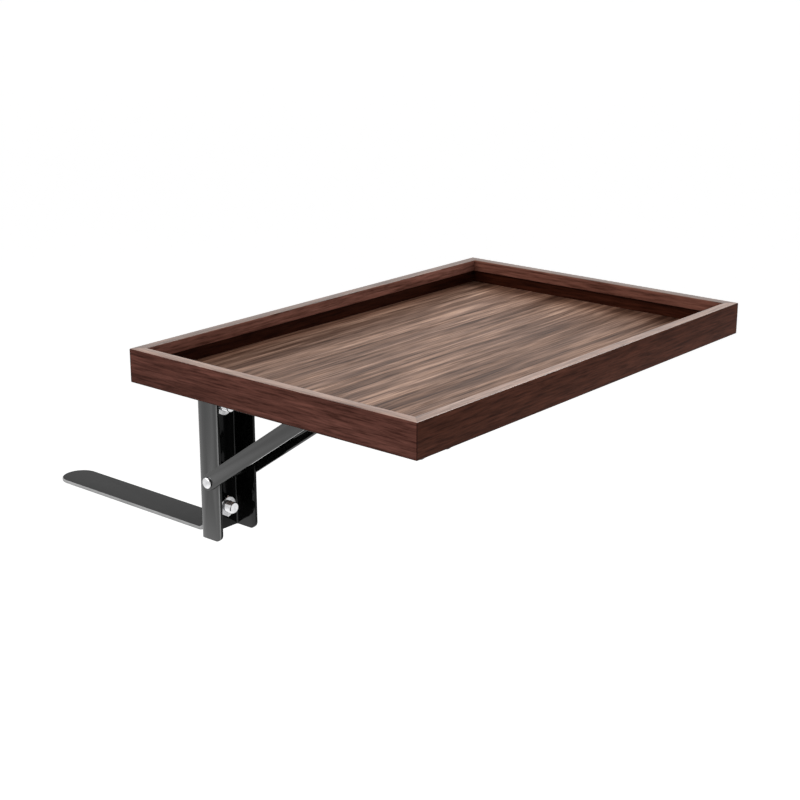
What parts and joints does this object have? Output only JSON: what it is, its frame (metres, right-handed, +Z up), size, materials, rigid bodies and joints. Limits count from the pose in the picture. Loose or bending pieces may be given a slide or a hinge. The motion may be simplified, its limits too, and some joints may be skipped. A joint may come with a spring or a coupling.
{
  "type": "folding bedside shelf tray",
  "caption": "Shallow rectangular wooden tray on folding black steel brackets whose flat tongues slide under a mattress, so that the tray hangs level beside a bed.",
  "frame": {"origin": "midway between the tongues, on the bed base under them, in the plane of the legs' backs", "axes": "+X out from the bed, +Y along the bed's side, +Z up"},
  "size_m": [0.5025, 0.453, 0.1825],
  "materials": {
    "walnut_rail": "satin dark walnut",
    "walnut_panel": "satin walnut with streaks along its length",
    "black_coat": "gloss black powder coat",
    "zinc": "bright zinc plate"
  },
  "bodies": {
    "brackets": {"left_upright": "black_coat", "left_tongue": "black_coat", "left_hinge_pin": "zinc", "left_hinge_spacer_inner": "zinc", "left_hinge_spacer_outer": "zinc", "left_strut_pin": "zinc", "left_lower_bolt": "zinc", "left_upper_bolt": "zinc", "left_lower_washer": "black_coat", "left_upper_washer": "black_coat", "left_lower_nut": "zinc", "left_upper_nut": "zinc", "right_upright": "black_coat", "right_tongue": "black_coat", "right_hinge_pin": "zinc", "right_hinge_spacer_inner": "zinc", "right_hinge_spacer_outer": "zinc", "right_strut_pin": "zinc", "right_lower_bolt": "zinc", "right_upper_bolt": "zinc", "right_lower_washer": "black_coat", "right_upper_washer": "black_coat", "right_lower_nut": "zinc", "right_upper_nut": "zinc"},
    "tray": {"bed_side_rail": "walnut_rail", "front_rail": "walnut_rail", "left_rail": "walnut_rail", "right_rail": "walnut_rail", "floor_panel": "walnut_panel", "left_arm": "black_coat", "left_screw_near_hinge": "zinc", "left_screw_middle": "zinc", "left_screw_slot_end": "zinc", "right_arm": "black_coat", "right_screw_near_hinge": "zinc", "right_screw_middle": "zinc", "right_screw_slot_end": "zinc"},
    "left_strut": {"left_strut_bar_inner": "black_coat", "left_strut_bar_outer": "black_coat", "left_strut_end_rivet_inner": "zinc", "left_strut_end_rivet_outer": "zinc"},
    "left_slide": {"left_slide_pin": "zinc"},
    "right_strut": {"right_strut_bar_inner": "black_coat", "right_strut_bar_outer": "black_coat", "right_strut_end_rivet_inner": "zinc", "right_strut_end_rivet_outer": "zinc"},
    "right_slide": {"right_slide_pin": "zinc"}
  },
  "joints": [
    {"name": "tray_fold", "type": "hinge", "parent": "brackets", "child": "tray", "pos_m": [0.0177, 0, 0.1295], "axis": [0, 1, 0], "range_deg": [0, 90]},
    {"name": "left_strut_swing", "type": "hinge", "parent": "brackets", "child": "left_strut", "pos_m": [0.0175, -0.138, 0.051], "axis": [0, 1, 0], "range_deg": [0, 121.5]},
    {"name": "left_pin_slide", "type": "slide", "parent": "tray", "child": "left_slide", "axis": [1, 0, 0], "range_m": [0, 0.1078]},
    {"name": "right_strut_swing", "type": "hinge", "parent": "brackets", "child": "right_strut", "pos_m": [0.0175, 0.138, 0.051], "axis": [0, 1, 0], "range_deg": [0, 121.5]},
    {"name": "right_pin_slide", "type": "slide", "parent": "tray", "child": "right_slide", "axis": [1, 0, 0], "range_m": [0, 0.1078]}
  ],
  "couplings": [
    {"joint": "left_strut_swing", "follows": "tray_fold", "ratio": 1.3381},
    {"joint": "left_pin_slide", "follows": "tray_fold", "m_per_rad": 0.06823},
    {"joint": "right_strut_swing", "follows": "tray_fold", "ratio": 1.3381},
    {"joint": "right_pin_slide", "follows": "tray_fold", "m_per_rad": 0.06823}
  ]
}
